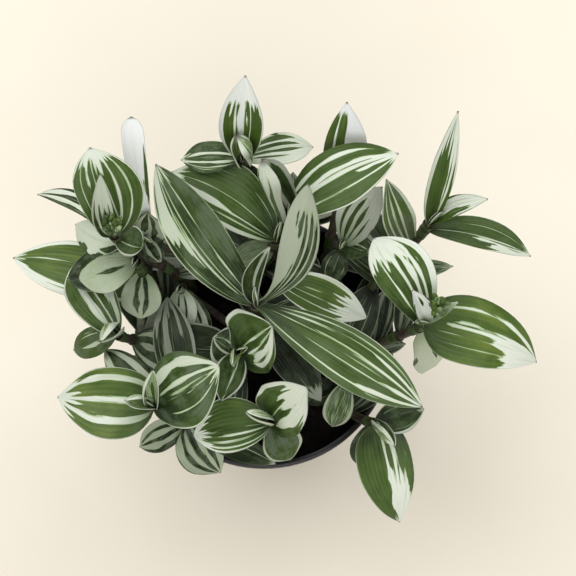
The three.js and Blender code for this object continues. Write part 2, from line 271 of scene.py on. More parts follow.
pot = {
    "sides": 96,
    "rimRadius": 60, "height": 100, "footRadius": 43, "wall": 1.5,
    "rimBand": 11, "rimStep": 2, "rimRise": 1, "rimSlope": 0.5,
    "footWidth": 6, "footHeight": 2.5, "floorTop": 5.5,
    "drainHoles": 6, "drainRadius": 4, "drainCircle": 27, "drainSides": 24,
    "drillDepth": 12, "drillHeight": 4,
    "edgeRounding": 0.45, "sharpAngle": 40,
    "grooves": [(92.2, 0.35), (97.0, 0.35)],  # heights and depths of the fine grooves round the rim
    "grooveHalf": 0.6, "bandInset": 0.25,
    "lip": [(1, 0), (0.3, 0.3), (0, 1), (0, 2.4), (0.5, 3)],  # how far below and inside the rim
    "bandWall": 3.3,
    "floorCorner": (1, 0.2, 0.8),  # its height, and its start outside and end inside the foot's radius
    "black": (15, 14, 17), "dust": (74, 68, 62), "dustShare": 0.5,
    "speckle": (900.0, 2.0), "smear": (55.0, 5.0, 0.65),
    "dustRamp": (0.52, 0.8), "gloss": (0.3, 0.75, 0.26, 0.52), "relief": (0.12, 0.0002),
}


def plasticFinish():
    material, tree = newMaterial("blackPlastic", roughness=0.36)
    place = objectPlace(tree)
    speckle = grain(tree, place, *pot["speckle"])
    smear = grain(tree, place, *pot["smear"])
    dust = calc(tree, "MULTIPLY", ramp(tree, smear, *pot["dustRamp"]), pot["dustShare"])
    tone = blend(tree, dust, colour(*pot["black"]), colour(*pot["dust"]))
    return finished(material, tone, speckle, pot["relief"], ramp(tree, smear, *pot["gloss"]))


def potSteps(shoulder, shoulderHeight):
    # the heights and radii of the outline from the shoulder on: the rim band stands out from the
    # wall, has two fine grooves, and turns over into the inside, which goes down to the floor
    rim, top, foot = pot["rimRadius"], pot["height"], pot["footRadius"]
    bandStart = shoulderHeight + pot["rimRise"]
    rise, outward, inward = pot["floorCorner"]
    steps = [(bandStart, rim - pot["rimSlope"])]
    edge, half = rim - pot["bandInset"], pot["grooveHalf"]
    for height, depth in pot["grooves"]:
        steps += [(height - half, edge), (height, edge - depth), (height + half, edge)]
    steps += [(top - down, rim - inside) for down, inside in pot["lip"]]
    return steps + [
        (bandStart, rim - pot["bandWall"]),
        (shoulderHeight, shoulder - pot["wall"]),
        (pot["floorTop"] + rise, foot + outward),
        (pot["floorTop"], foot - inward),
    ]


def makePot():
    radius = shoulder = pot["rimRadius"] - pot["rimStep"]
    height = shoulderHeight = pot["height"] - pot["rimBand"]
    piece = addTaper(pot["sides"], pot["footRadius"], shoulder, 0, shoulderHeight)
    for nextHeight, nextRadius in potSteps(shoulder, shoulderHeight):
        rise = {"value": (0, 0, nextHeight - height)}
        bpy.ops.mesh.extrude_region_move(TRANSFORM_OT_translate=rise)
        share = nextRadius / radius
        bpy.ops.transform.resize(value=(share, share, 1), center_override=(0, 0, 0))
        height, radius = nextHeight, nextRadius
    # the foot is a ring, with the floor a little above what it stands on
    selectLevel(piece, -1)
    bpy.ops.mesh.inset(thickness=pot["footWidth"], depth=0)
    bpy.ops.transform.translate(value=(0, 0, pot["footHeight"]))
    bpy.ops.object.mode_set(mode="OBJECT")
    for number in range(pot["drainHoles"]):
        angle = 2 * math.pi * number / pot["drainHoles"]
        x, y = pot["drainCircle"] * math.cos(angle), pot["drainCircle"] * math.sin(angle)
        bpy.ops.mesh.primitive_cylinder_add(
            vertices=pot["drainSides"], radius=pot["drainRadius"], depth=pot["drillDepth"],
            location=(x, y, pot["drillHeight"]),
        )
        drill = bpy.context.active_object
        applyModifier(piece, "BOOLEAN", operation="DIFFERENCE", object=drill, solver="EXACT")
        bpy.data.objects.remove(drill, do_unlink=True)
    applyModifier(
        piece, "BEVEL", width=pot["edgeRounding"], segments=2,
        limit_method="ANGLE", angle_limit=math.radians(pot["sharpAngle"]),
    )
    piece.data.transform(Matrix.Scale(millimetre, 4))
    piece.name = piece.data.name = "nursery_pot"
    giveMaterials(piece, plasticFinish())
    smoothShade(piece, pot["sharpAngle"])
    handOver(piece, "pot_plastic", "pot")


makePot()
print("pot made")


soil = {
    "radius": 56.0, "footRadius": 42.0, "bottom": 6.0, "level": 89.0,
    "lump": 1.4, "lumpTurns": (0.31, 0.27), "lumpStart": 1,  # as in the part's source
    "sides": 72, "cuts": (4, 1), "topWithin": 0.01, "edge": 2.0, "sharpAngle": 30,
    "roughness": 1.1, "roughScale": 0.35, "roughSlice": 3.0, "roughLayers": (0.8, 2.1, 4),
    "crumbs": 520, "seed": 5,
    "crumbSizes": (0.8, 2.6), "crumbShares": (0.5, 1.0),
    "crumbTurns": (0, 6), "crumbWidths": (0.4, 0.9), "crumbHeights": (0.3, 0.7),
    "crumbLump": 0.3, "crumbLumpScale": 1.7, "crumbLift": 0.15,
    "dark": (10, 9, 9), "brown": (30, 23, 18), "fibre": (60, 48, 36),
    "clumps": (160.0, 5.0, 0.7), "fibres": (700.0, 3.0, 0.6),
    "clumpRamp": (0.4, 0.72), "fibreRamp": (0.66, 0.78), "relief": (0.8, 0.001),
}


def soilHeight(x, y):
    turnX, turnY = soil["lumpTurns"]
    lumps = math.sin(x * turnX + soil["lumpStart"]) * math.cos(y * turnY)
    return soil["level"] + soil["lump"] * lumps - soil["lump"]


def peatFinish():
    material, tree = newMaterial("peat", roughness=0.95, specular=0.15)
    place = objectPlace(tree)
    clump = grain(tree, place, *soil["clumps"])
    fibre = grain(tree, place, *soil["fibres"])
    # the peat's ground is painted near black, as painted shade under the leaves, with its own brown
    # clumps and fibres over it
    tone = layer(tree, colour(*soil["dark"]), clump, soil["clumpRamp"], soil["brown"])
    tone = layer(tree, tone, fibre, soil["fibreRamp"], soil["fibre"])
    return finished(material, tone, clump, soil["relief"])


def makeBed():
    bed = addTaper(
        soil["sides"], soil["footRadius"], soil["radius"], soil["bottom"], soil["level"],
        end_fill_type="TRIFAN",
    )
    for cuts in soil["cuts"]:
        bpy.ops.mesh.subdivide(number_cuts=cuts)
    bpy.ops.object.mode_set(mode="OBJECT")
    for vertex in bed.data.vertices:
        x, y, z = vertex.co
        if z > soil["level"] - soil["topWithin"]:
            inside = clamp((soil["radius"] - math.hypot(x, y)) / soil["edge"])
            spot = Vector((x, y, soil["roughSlice"])) * soil["roughScale"]
            rough = noise.fractal(spot, *soil["roughLayers"])
            vertex.co.z = soilHeight(x, y) + soil["roughness"] * rough * inside
    return bed


def makeCrumbs():
    # crumbs of peat and bark, one shape copied, turned and pressed into the bed
    draws = random.Random(soil["seed"])
    bpy.ops.mesh.primitive_ico_sphere_add(subdivisions=1, radius=1.0)
    blank = bpy.context.active_object
    for vertex in blank.data.vertices:
        vertex.co *= 1 + soil["crumbLump"] * noise.noise(vertex.co * soil["crumbLumpScale"])
    crumbs = []
    for number in range(soil["crumbs"]):
        crumb = copied(blank, f"crumb{number}")
        reach = (soil["radius"] - soil["edge"]) * math.sqrt(draws.random())
        angle = draws.uniform(0, 2 * math.pi)
        x, y = reach * math.cos(angle), reach * math.sin(angle)
        size = draws.uniform(*soil["crumbSizes"]) * draws.uniform(*soil["crumbShares"])
        axis = (draws.uniform(-1, 1), draws.uniform(-1, 1), draws.uniform(-1, 1))
        turn = Quaternion(axis, draws.uniform(*soil["crumbTurns"])).to_matrix().to_4x4()
        width, height = draws.uniform(*soil["crumbWidths"]), draws.uniform(*soil["crumbHeights"])
        shape = Matrix.Diagonal((size, size * width, size * height, 1))
        place = Matrix.Translation((x, y, soilHeight(x, y) + soil["crumbLift"] * size))
        crumb.data.transform(place @ turn @ shape)
        crumbs.append(crumb)
    bpy.data.objects.remove(blank, do_unlink=True)
    return crumbs


def makeSoil():
    piece = joined([makeBed()] + makeCrumbs(), "potting_soil")
    piece.data.transform(Matrix.Scale(millimetre, 4))
    giveMaterials(piece, peatFinish())
    smoothShade(piece, soil["sharpAngle"])
    handOver(piece, "soil", "soil")


makeSoil()
print("soil made")


# A leaf's UV map runs across the blade and along it. Its attributes are its paleness, which is 0
# where the blade is green, 1 where it is white and 0.5 at the edge between them, its tone from deep
# to yellow green, its haze, which dulls it with grey, partly its own dullness and partly painted
# shade, or, below 0, whitens its white with painted light, its painted shade towards black, and a
# number of its own that shifts every pattern on it.

# the dull white is partly the leaf's own and partly painted shade, the chalk white is painted light on
# lit white, and the olive at the base and the black are painted shade
leafPaint = {
    "deep": (31, 47, 15), "middle": (68, 93, 30), "bright": (118, 138, 50),
    "haze": (88, 102, 76),
    "line": (162, 184, 138), "white": (226, 232, 218), "dull": (172, 183, 154),
    "paintedLightWhite": (246, 249, 248),
    "edge": (70, 50, 48), "base": (96, 112, 62), "black": (0, 0, 0),
    "underGreen": (100, 122, 84), "underWhite": (184, 194, 172),
}
leafGrain = {
    "fine": (46.0, 3.2, 2.0), "broad": (9.0, 1.4, 2.0),  # scales across and along, and detail
    "cloud": (4.0, 5.0, 3.0), "rubbed": (70.0, 9.0, 4.0),
    "veins": 13.0, "veinDepth": 0.5,
    "raggedness": 0.5, "whiteVaries": 0.2, "toneStripes": 0.55, "toneClouds": 0.7,
    "paleRamp": (0.46, 0.54), "whiteRamp": (0.54, 0.72), "whiteAtBase": (0.05, 0.4, 0.3, 1.0),
    "paintedBaseShadeTone": (0.0, 0.45, -0.25, 0.0), "middleRamp": (0.0, 0.55), "brightRamp": (0.5, 1.1),
    "hazeRamp": (0.42, 0.62), "veinRamp": (0.2, 1.1, 0.0, 0.16), "rubbedRamp": (0.6, 0.8, 0.0, 0.25),
    "dullStripes": (0.5, 0.72, 0.0, 0.6), "dullStreaks": (0.6, 0.75, 0.0, 0.7), "dullHaze": 0.9,
    "underGreenShare": 0.55, "underWhiteShare": 0.6,
    "paintedBaseShadeRamp": (0.0, 0.07, 0.6, 0.0), "edgeRamp": (0.004, 0.01, 0.4, 0.0),
    "tipRamp": (0.975, 1.0, 0.0, 0.9), "gloss": (0.3, 0.7, 0.36, 0.52),
    "cloudRelief": 0.6, "relief": (0.3, 0.0003),
}


def leafFinish(name, underside):
    material, tree = newMaterial(name, roughness=0.42, specular=0.3)
    paint = {key: colour(*value) for key, value in leafPaint.items()}
    spread = put(tree, "SeparateXYZ", {0: put(tree, "UVMap", uv_map="leafUv").outputs[0]})
    across, along = spread.outputs[0], spread.outputs[1]

    def own(attribute):
        return put(tree, "Attribute", attribute_name=attribute, attribute_type="GEOMETRY").outputs["Fac"]

    def streaks(pattern):
        acrossScale, alongScale, detail = leafGrain[pattern]
        vector = put(tree, "CombineXYZ", {
            0: calc(tree, "MULTIPLY", across, acrossScale),
            1: calc(tree, "MULTIPLY", along, alongScale),
            2: own("leafNumber"),
        }).outputs[0]
        return grain(tree, vector, 1.0, detail)

    def varied(value, pattern, setting):
        # pushes the value up and down by a pattern, whose middle is a half
        swing = calc(tree, "SUBTRACT", pattern, 0.5)
        return calc(tree, "MULTIPLY_ADD", swing, leafGrain[setting], value)

    def ramped(value, setting):
        return ramp(tree, value, *leafGrain[setting])

    def over(under, value, setting, key):
        return layer(tree, under, value, leafGrain[setting], leafPaint[key])

    paleness, tone, haze, shade = own("paleness"), own("tone"), own("haze"), own("shade")
    fine, broad, cloud = streaks("fine"), streaks("broad"), streaks("cloud")
    isPale = ramped(varied(paleness, fine, "raggedness"), "paleRamp")
    isWhite = ramped(varied(paleness, cloud, "whiteVaries"), "whiteRamp")
    isWhite = calc(tree, "MULTIPLY", isWhite, ramped(along, "whiteAtBase"))
    # green flesh: its tone, brighter and duller stripes, darker veins and painted shade towards the base
    toneHere = varied(varied(tone, broad, "toneStripes"), cloud, "toneClouds")
    toneHere = calc(tree, "ADD", toneHere, ramped(along, "paintedBaseShadeTone"))
    green = over(paint["deep"], toneHere, "middleRamp", "middle")
    green = over(green, toneHere, "brightRamp", "bright")
    # a grey haze over the green, partly its own dullness and partly painted shade
    hazeHere = calc(tree, "MULTIPLY", ramped(cloud, "hazeRamp"), haze)
    green = blend(tree, hazeHere, green, paint["haze"])
    rib = calc(tree, "SINE", calc(tree, "MULTIPLY", across, 2 * math.pi * leafGrain["veins"]))
    veined = calc(tree, "MULTIPLY_ADD", rib, leafGrain["veinDepth"], fine)
    green = over(green, veined, "veinRamp", "deep")
    green = over(green, streaks("rubbed"), "rubbedRamp", "line")
    # white flesh: pale green next to the green, dull in places, more so as painted shade where its
    # haze says so, and whitened with painted light where its haze is below 0
    hazeDulls = calc(tree, "MULTIPLY", haze, leafGrain["dullHaze"])
    dullness = calc(tree, "MAXIMUM", ramped(broad, "dullStripes"), hazeDulls)
    dullness = calc(tree, "MAXIMUM", dullness, ramped(fine, "dullStreaks"))
    milky = blend(tree, dullness, paint["white"], paint["dull"])
    milky = blend(tree, calc(tree, "MULTIPLY", haze, -1.0), milky, paint["paintedLightWhite"])
    pale = blend(tree, isWhite, paint["line"], milky)
    if underside:
        green = blend(tree, leafGrain["underGreenShare"], green, paint["underGreen"])
        pale = blend(tree, leafGrain["underWhiteShare"], pale, paint["underWhite"])
    tint = blend(tree, isPale, green, pale)
    # painted shade dulls the blade at its base, and it has a dry tip and a thin dry line round its pale
    # edge
    tint = over(tint, along, "paintedBaseShadeRamp", "base")
    fromEdge = calc(tree, "MINIMUM", across, calc(tree, "SUBTRACT", 1.0, across))
    dry = calc(tree, "MULTIPLY", isPale, ramped(fromEdge, "edgeRamp"))
    tint = blend(tree, calc(tree, "MAXIMUM", dry, ramped(along, "tipRamp")), tint, paint["edge"])
    # painted shade: the blade is darkened towards black as far as its shade attribute says
    tint = blend(tree, shade, tint, paint["black"])
    height = calc(tree, "MULTIPLY_ADD", cloud, leafGrain["cloudRelief"], veined)
    return finished(material, tint, height, leafGrain["relief"], ramped(cloud, "gloss"))


canePaint = {
    "brown": (48, 36, 34), "green": (66, 66, 42), "skin": (108, 98, 78),
    "blotches": 160.0, "streaks": (620.0, 2.0),
    "blotchRamp": (0.4, 0.65), "streakRamp": (0.5, 0.75, 0.0, 0.4), "relief": (0.3, 0.0003),
}


def caneFinish():
    material, tree = newMaterial("leafStalk", roughness=0.45)
    place = objectPlace(tree)
    blotch = grain(tree, place, canePaint["blotches"])
    streak = grain(tree, place, *canePaint["streaks"])
    brown = colour(*canePaint["brown"])
    tone = layer(tree, brown, blotch, canePaint["blotchRamp"], canePaint["green"])
    tone = layer(tree, tone, streak, canePaint["streakRamp"], canePaint["skin"])
    return finished(material, tone, streak, canePaint["relief"])


leafMaterials = [
    leafFinish("leafFace", underside=False), leafFinish("leafBack", underside=True), caneFinish(),
]
backIndex, caneIndex = 1, 2  # their places in that list, counted from 0
print("leaf finishes made")


# The plan of the stems is the one in the part's source, with the looks of the leaves added. Each
# leaf states how it differs from a plain one. Its stripes are (middle across, half width, start
# along, end along), the last two only where a stripe doesn't run from base to tip. The white ones
# are drawn first and the green ones over them.
plainLeaf = {
    "at": 0.97,  # how far up its stem it grows
    "swell": 0.5, "point": 2.8,  # powers of its outline, towards base and tip
    "arch": 0.05, "sway": 0.0,  # how far it bends up and to its side, as shares of its length
    "furl": 30, "twist": 0, "roll": 0,  # degrees across it, from base to tip, and of all of it
    "ground": 0.0, "white": [], "green": [],
    "lines": 3,  # number of fine white stripes by chance
    "tip": 0.9, "comb": 0.1,  # where its white tip starts, and how far green fingers reach into it
    "margin": (0.0, 0.0),  # the widths of its white edges, left then right
    # haze dulls a leaf with grey, partly its own dullness and partly painted shade, and below 0 whitens
    # it with painted light; shade is painted shade towards black
    "tone": 0.35, "haze": 0.3, "shade": 0.0,
}
youngLook = {
    "swell": 0.25, "point": 10, "furl": 250, "twist": 50,
    "ground": 0.5, "margin": (0.12, 0.12), "tone": 1.0, "haze": 0.1, "lines": 1,
}
whiteAllOver = [(0.5, 0.6, -1, 2)]


def leafAt(seen, height, width, **changes):
    return {**plainLeaf, "seen": seen, "height": height, "width": width, **changes}


def youngAt(seen, height, width, **changes):
    # a young leaf, still rolled up
    return leafAt(seen, height, width, **{**youngLook, **changes})


# Each stem has its name, where it leaves the soil, the pixel and the height of its crown, and the
# leaves that the photograph shows, each by the pixel and the height of its tip and by its width.
stems = [
    ("stem_centre", (0, 6), (256, 303), 152, [
        leafAt((423, 407), 146, 24, swell=0.75, arch=0.08, tip=0.92, margin=(0.02, 0.01), tone=0.42,
               haze=0.4, lines=2,
               white=[(0.85, 0.018), (0.83, 0.06, 0.6), (0.6, 0.012, 0.25), (0.56, 0.06, 0.75),
                      (0.38, 0.024), (0.2, 0.02, 0.05), (0.22, 0.04, 0.65)],
               green=[(0.88, 0.012, 0.65, 0.95), (0.39, 0.008, 0.2, 0.7)]),
        leafAt((156, 164), 172, 24, at=0.93, swell=0.6, arch=0.06, sway=-0.06, tip=0.93, comb=0.08,
               margin=(0.03, 0.01), tone=0.25, haze=0.75, lines=0,
               white=[(0.17, 0.16, 0.54), (0.27, 0.03, 0.36), (0.1, 0.012), (0.36, 0.018),
                      (0.44, 0.01), (0.62, 0.016, 0.1)],
               green=[(0.3, 0.015, 0.6, 0.85)]),
        leafAt((307, 184), 196, 18, swell=1.3, point=3, sway=0.15, furl=60, roll=-10, tip=0.74,
               comb=0.14, margin=(0, 0.09), tone=0.05, haze=0.9, shade=0.24, lines=0,
               white=[(0.08, 0.27, -0.2, 1.2), (0.47, 0.02), (0.62, 0.022), (0.78, 0.022)]),
        leafAt((270, 247), 172, 13, sway=-0.12, furl=200, tip=0.85, margin=(0.12, 0.14), tone=0.3,
               haze=0.5, shade=0.15, lines=0, white=[(0.55, 0.07)]),
    ]),
    ("stem_centre_east", (12, 12), (278, 278), 138, [
        leafAt((367, 318), 140, 19, arch=0.06, tip=0.64, comb=0.14, margin=(0.16, 0.07), tone=0.62,
               haze=0, lines=0, white=[(0.42, 0.014, 0, 1), (0.57, 0.016, 0, 1), (0.75, 0.02, 0, 1)]),
        youngAt((290, 262), 150, 8, twist=40, tone=0.8),
    ]),
    ("stem_north_centre", (-3, 28), (276, 238), 146, [
        leafAt((171, 172), 160, 27, swell=0.6, arch=0.1, sway=0.07, tip=0.84, margin=(0.03, 0.02),
               tone=0.45, haze=0.35, lines=2,
               white=[(0.06, 0.03), (0.17, 0.014, 0, 1), (0.28, 0.02), (0.3, 0.05, 0.45),
                      (0.5, 0.01, 0, 1), (0.64, 0.008, 0, 1), (0.8, 0.01, 0.1, 1)]),
        leafAt((232, 268), 124, 15, at=0.8, ground=0.55, tone=0.1, haze=0.9, shade=0.35),
    ]),
    ("stem_north_east", (10, 34), (286, 214), 158, [
        leafAt((398, 153), 176, 25, swell=0.6, arch=0.1, sway=-0.03, tip=0.88, comb=0.08,
               margin=(0, 0.04), tone=0.5, haze=0.2, lines=0,
               white=[(0.15, 0.045, 0.1, 0.9), (0.42, 0.11), (0.48, 0.17, 0.62), (0.73, 0.024)],
               green=[(0.5, 0.014, 0.2, 0.93), (0.4, 0.01, 0.35, 0.85), (0.6, 0.012, 0.55, 0.9)]),
        leafAt((263, 160), 188, 27, swell=0.25, point=25, furl=250, twist=-60, tip=0.86,
               margin=(0.16, 0.12), tone=0.3, haze=0.4, shade=0.16, lines=0,
               white=[(0.24, 0.05), (0.64, 0.06)],
               green=[(0.75, 0.05, 0.3, 0.95)]),
    ]),
    ("stem_north", (-2, 48), (241, 156), 165, [
        leafAt((245, 77), 204, 19, furl=70, tip=0.62, comb=0.15, margin=(0.14, 0.05), tone=0.5,
               haze=-0.5, lines=0, white=[(0.5, 0.1), (0.34, 0.02), (0.68, 0.02)],
               green=[(0.56, 0.02, 0.1, 0.75)]),
        youngAt((236, 135), 182, 22, swell=0.2, point=30, furl=290, twist=60, ground=0.48, tone=0.8),
        leafAt((313, 147), 162, 14, point=4, arch=0.12, tone=0.3, haze=0.4, lines=0,
               white=whiteAllOver,
               green=[(0.14, 0.05, 0, 0.8), (0.34, 0.05, 0, 0.85), (0.52, 0.05, 0.05, 0.9),
                      (0.7, 0.03, 0.1, 0.7)]),
        leafAt((181, 160), 161, 14, arch=0.08, tip=0.86, tone=0.25, haze=0.6,
               white=[(0.35, 0.05, 0.1), (0.64, 0.04, 0, 1)]),
        leafAt((252, 196), 148, 14, at=0.9, tone=0.2, haze=0.6),
    ]),
    ("stem_north_east_back", (28, 34), (343, 182), 142, [
        leafAt((347, 104), 186, 19, furl=50, tip=0.86, comb=0.05, tone=0.6, haze=-1, lines=0,
               white=[(0.8, 0.33, -0.2, 1.2), (0.24, 0.03)],
               green=[(0.42, 0.03, 0, 0.95)]),
    ]),
    ("stem_east", (24, 18), (344, 242), 134, [
        leafAt((382, 187), 158, 19, sway=-0.04, furl=40, tone=0.5, shade=0.12, lines=0,
               white=whiteAllOver,
               green=[(0.2, 0.035, 0.05, 0.75), (0.4, 0.045, 0, 0.8), (0.6, 0.04, 0, 0.72),
                      (0.78, 0.03, 0.1, 0.6)]),
        leafAt((370, 252), 135, 12, tone=0.25, white=[(0.4, 0.02, 0, 1)]),
        leafAt((328, 284), 122, 12, at=0.85, tone=0.15, haze=0.6),
    ]),
    ("stem_far_east", (38, 10), (430, 222), 148, [
        leafAt((458, 112), 192, 11, point=2, furl=60, tip=0.66, comb=0.3, margin=(0.22, 0.08),
               tone=0.55, haze=0, lines=0, white=[(0.78, 0.09, 0.1), (0.55, 0.03, 0.6)],
               green=[(0.95, 0.05, 0, 0.5), (0.76, 0.02, 0.2, 0.75)]),
        leafAt((487, 199), 168, 11, sway=-0.05, furl=120, tip=0.6, comb=0.2, tone=0.5, haze=0,
               white=[(0.3, 0.18, 0.1)]),
        leafAt((531, 256), 138, 14, at=0.9, arch=0.1, sway=-0.06, margin=(0.02, 0.02), tone=0.4,
               lines=1, white=[(0.6, 0.02, 0.05), (0.7, 0.05, 0.4), (0.9, 0.2, 0.55)],
               green=[(0.94, 0.06, 0, 0.7)]),
        leafAt((387, 180), 172, 15, at=0.7, sway=-0.05, furl=40, margin=(0.06, 0.14), tone=0.5,
               haze=0.8, lines=1, white=[(0.22, 0.025), (0.42, 0.03), (0.62, 0.025)]),
        leafAt((453, 266), 122, 9, at=0.45, ground=0.46, tone=0.05, haze=0.9, lines=2,
               green=[(0.5, 0.05, 0, 0.8)]),
    ]),
    ("stem_right_crown", (40, -8), (426, 322), 146, [
        leafAt((374, 238), 158, 25, point=5, arch=0.15, sway=0.05, tip=0.62, comb=0.2,
               margin=(0.01, 0.05), tone=0.4, haze=0.15, lines=0,
               white=[(0.24, 0.018, 0.1), (0.46, 0.05, 0.15), (0.61, 0.04, 0.1), (0.74, 0.03, 0.1),
                      (0.93, 0.08, 0.1)],
               green=[(0.84, 0.03, 0.2, 0.9), (0.53, 0.012, 0.15, 0.8)]),
        leafAt((538, 362), 126, 30, swell=0.28, point=1.8, arch=0.12, sway=-0.03, tip=0.56, comb=0.12,
               margin=(0, 0.02), tone=0.68, haze=0.1, lines=0,
               white=[(0.18, 0.02), (0.45, 0.06, 0.12), (0.6, 0.014, 0.1, 1), (0.56, 0.11, 0.5),
                      (0.75, 0.008, 0, 0.7)],
               green=[(0.29, 0.07, 0, 0.96), (0.07, 0.08, 0, 1.02), (0.43, 0.012, 0.15, 0.66),
                      (0.51, 0.01, 0.15, 0.66)]),
        leafAt((413, 291), 166, 14, furl=180, tone=0.2, haze=-0.4, white=whiteAllOver,
               green=[(0.08, 0.05, 0.1, 0.8), (0.6, 0.03, 0.5, 0.9)]),
        leafAt((436, 366), 108, 21, at=0.85, point=4, tone=0.1, haze=0.8, white=whiteAllOver,
               green=[(0.42, 0.04, 0, 0.85)]),
        leafAt((458, 302), 158, 6, furl=150, ground=0.6, tone=0.8),
    ]),
    ("stem_south_east", (34, -32), (376, 424), 122, [
        leafAt((400, 523), 96, 25, swell=0.3, point=1.7, arch=0.1, sway=0.02, margin=(0, 0.02),
               tone=0.5, haze=0.1, lines=1,
               white=[(0.44, 0.03), (0.3, 0.04, 0.05), (0.3, 0.2, 0.36), (0.14, 0.16, 0.52)],
               green=[(0.04, 0.08, 0, 0.7), (0.2, 0.025, 0.1, 0.62), (0.36, 0.014, 0.1, 0.7),
                      (0.27, 0.01, 0.3, 0.6)]),
        leafAt((424, 409), 126, 15, margin=(0.05, 0.12), tone=0.2, shade=0.15),
        youngAt((395, 446), 138, 14, swell=0.3, point=8, furl=270, twist=60, ground=0.46,
                margin=(0.14, 0.14), tone=0.7),
        leafAt((357, 465), 98, 12, at=0.85, tone=0.1, haze=0.8, white=[(0.3, 0.05), (0.7, 0.05)]),
    ]),
    ("stem_south_east_inner", (34, -18), (347, 382), 120, [
        leafAt((332, 427), 106, 13, arch=0.15, ground=0.46, tip=0.95, margin=(0.14, 0.12), tone=0.5,
               haze=1, shade=0.15, lines=1),
        leafAt((304, 402), 97, 12, at=0.5, tone=0.1, haze=0.7, shade=0.4),
    ]),
    ("stem_south", (6, -38), (270, 422), 128, [
        leafAt((193, 436), 124, 24, arch=0.08, sway=0.045, tip=0.74, comb=0.16, margin=(0.05, 0.02),
               tone=0.5, haze=0, lines=0,
               white=[(0.42, 0.012, 0, 1), (0.32, 0.02, 0, 1), (0.2, 0.02, 0, 1), (0.1, 0.02, 0, 1),
                      (0.68, 0.008, 0, 1)]),
        leafAt((307, 388), 160, 26, furl=60, tip=0.55, comb=0.25, margin=(0.03, 0.02), tone=0.4,
               haze=0.4, lines=0, white=[(0.45, 0.015), (0.72, 0.1, 0.1)],
               green=[(0.95, 0.07, 0, 0.75), (0.2, 0.03, 0.3, 0.8)]),
        youngAt((246, 412), 146, 14, furl=320, ground=0.52, margin=(0.06, 0.06), haze=0, lines=0),
        leafAt((291, 460), 106, 18, at=0.8, ground=0.3, margin=(0.1, 0.08), tone=0.4, haze=1,
               shade=0.05, lines=0),
    ]),
    ("stem_south_west_low", (-22, -34), (186, 424), 114, [
        leafAt((139, 447), 102, 14, tone=0.1, haze=1, shade=0.12,
               white=[(0.28, 0.09), (0.6, 0.07), (0.92, 0.1)]),
        leafAt((221, 473), 96, 21, swell=0.4, point=2, sway=0.06, tone=0.1, haze=1, shade=0.1,
               white=[(0.12, 0.1), (0.4, 0.06), (0.66, 0.05), (0.9, 0.07)]),
        leafAt((276, 464), 104, 13, at=0.85, tone=0.05, haze=0.6, lines=1),
    ]),
    ("stem_south_west", (-24, -24), (153, 405), 136, [
        leafAt((57, 397), 128, 31, swell=0.32, point=2, arch=0.1, sway=-0.03, tip=0.76, comb=0.14,
               margin=(0.02, 0.02), tone=0.72, haze=0.2, shade=0.08, lines=0,
               white=[(0.86, 0.05, -0.2), (0.55, 0.05, -0.2), (0.26, 0.055, -0.2), (0.3, 0.03, 0.45)],
               green=[(0.5, 0.014, 0.1, 0.7), (0.61, 0.012, 0.2, 0.6), (0.29, 0.012, 0.4, 0.8)]),
        leafAt((219, 366), 150, 33, arch=0.12, sway=0.05, tip=0.84, comb=0.12, margin=(0, 0.035),
               tone=0.3, haze=0.7, lines=2,
               white=[(0.16, 0.075, 0.05), (0.38, 0.035, 0.1), (0.55, 0.012, 0.45),
                      (0.75, 0.014, 0.2)]),
        youngAt((153, 371), 158, 13, swell=0.3, point=6, furl=220, twist=-40, ground=0.54, tone=0.5,
                haze=0.2, lines=3, green=[(0.3, 0.05, 0, 0.9), (0.6, 0.05, 0, 0.8)]),
        youngAt((125, 401), 146, 13),
        leafAt((104, 349), 120, 15, at=0.8, tone=0.2, haze=0.7, shade=0.08,
               white=[(0.2, 0.16, -0.2, 1.2), (0.8, 0.12, -0.2, 1.2)]),
    ]),
    ("stem_south_centre", (-10, -18), (238, 353), 126, [
        leafAt((272, 326), 146, 31, furl=25, tip=0.93, margin=(0.1, 0.02), tone=0.4, lines=0,
               white=[(0.48, 0.022), (0.62, 0.02, 0.2), (0.8, 0.13, 0.25)],
               green=[(0.96, 0.05, 0, 0.9), (0.8, 0.02, 0.3, 0.8)]),
        leafAt((213, 337), 128, 19, margin=(0.12, 0.1), tone=0.15, haze=0.5, shade=0.25, lines=1,
               white=[(0.35, 0.03), (0.6, 0.02, 0.2)]),
        leafAt((221, 401), 131, 15, furl=90, tip=0.93, margin=(0.1, 0.09), tone=0.3, lines=1,
               white=[(0.45, 0.012, 0, 1)]),
        youngAt((233, 366), 146, 9, margin=(0, 0), haze=0.3, lines=3),
    ]),
    ("stem_south_inner", (8, -14), (274, 345), 112, [
        leafAt((320, 390), 112, 17, tone=0.05, haze=0.9, shade=0.3,
               white=[(0.68, 0.12, 0.1), (0.2, 0.05, 0.3)]),
    ]),
    ("stem_west", (-44, -4), (117, 334), 132, [
        leafAt((72, 266), 120, 21, arch=0.1, furl=50, margin=(0.05, 0.03), tone=0.55, lines=1,
               white=[(0.4, 0.07, -0.1), (0.6, 0.025), (0.86, 0.1)]),
        youngAt((101, 342), 150, 18, point=8, furl=300, twist=70, margin=(0.16, 0.16), tone=0.8),
        leafAt((73, 350), 112, 14, tone=0.5, haze=0.8, shade=0.1, white=[(0.4, 0.06, 0.3, 0.8)]),
        leafAt((195, 362), 112, 21, at=0.65, tone=0.3, haze=0.7,
               white=[(0.2, 0.1), (0.55, 0.08, 0.1), (0.9, 0.06)]),
    ]),
    ("stem_west_upper", (-44, 14), (135, 260), 144, [
        leafAt((79, 279), 139, 20, arch=0.2, sway=-0.05, ground=0.64, tone=0.2, haze=0.7, shade=0.16,
               lines=1, green=[(0.46, 0.05, 0.15, 0.66), (0.95, 0.14, -0.1, 1)]),
        leafAt((67, 279), 130, 19, at=0.88, arch=0.12, tip=0.97, margin=(0.01, 0.01), tone=0.05,
               haze=0.7, shade=0.2, lines=1),
